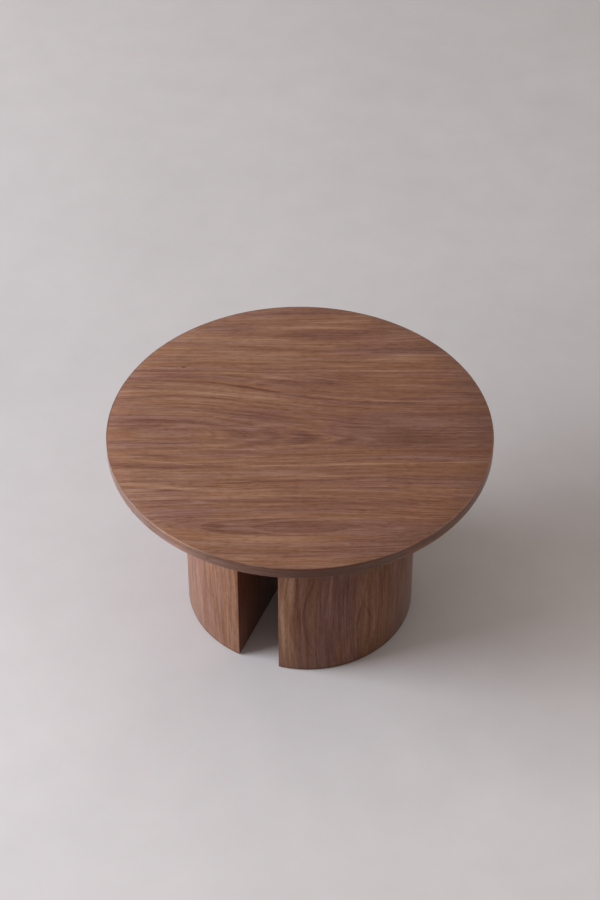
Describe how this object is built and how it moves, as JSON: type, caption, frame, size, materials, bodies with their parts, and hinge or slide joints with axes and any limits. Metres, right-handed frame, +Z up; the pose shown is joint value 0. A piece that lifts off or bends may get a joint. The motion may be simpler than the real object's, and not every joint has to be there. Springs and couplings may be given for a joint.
{
  "type": "round coffee table",
  "caption": "Low round coffee table: a walnut-veneered disc top carried on a split pedestal of hollow half-round legs, bolted up into the top from inside.",
  "frame": {"origin": "on the floor, under the middle of the tabletop", "axes": "+Z up; the slot between the legs runs along Y; the right leg stands on the +X side"},
  "size_m": [0.6999, 0.7, 0.42],
  "materials": {
    "walnut_top": "satin lacquered walnut veneer",
    "walnut_edge": "satin lacquered walnut lipping",
    "walnut_leg": "satin lacquered walnut veneer",
    "walnut_backing": "sanded walnut veneer",
    "fibreboard": "medium density fibreboard",
    "plywood": "birch plywood, sanded",
    "bending_plywood": "bending plywood",
    "beech": "planed beech",
    "brass": "machined",
    "steel": "zinc plated",
    "nylon": "moulded nylon"
  },
  "bodies": {
    "root": {"left_leg_bolts": "steel", "left_leg_bottom_former": "plywood", "left_leg_curved_shell": "bending_plywood", "left_leg_curved_veneer": "walnut_leg", "left_leg_flat_panel": "plywood", "left_leg_flat_veneer": "walnut_leg", "left_leg_front_corner_post": "beech", "left_leg_glide_screws": "steel", "left_leg_glides": "nylon", "left_leg_locating_dowels": "beech", "left_leg_middle_former": "plywood", "left_leg_panel_dowels": "beech", "left_leg_rear_corner_post": "beech", "left_leg_top_former": "plywood", "left_leg_washers": "steel", "right_leg_bolts": "steel", "right_leg_bottom_former": "plywood", "right_leg_curved_shell": "bending_plywood", "right_leg_curved_veneer": "walnut_leg", "right_leg_flat_panel": "plywood", "right_leg_flat_veneer": "walnut_leg", "right_leg_front_corner_post": "beech", "right_leg_glide_screws": "steel", "right_leg_glides": "nylon", "right_leg_locating_dowels": "beech", "right_leg_middle_former": "plywood", "right_leg_panel_dowels": "beech", "right_leg_rear_corner_post": "beech", "right_leg_top_former": "plywood", "right_leg_washers": "steel", "top_backing_veneer": "walnut_backing", "top_core": "fibreboard", "top_edge_band": "walnut_edge", "top_face_veneer": "walnut_top", "top_threaded_inserts": "brass"}
  },
  "joints": []
}
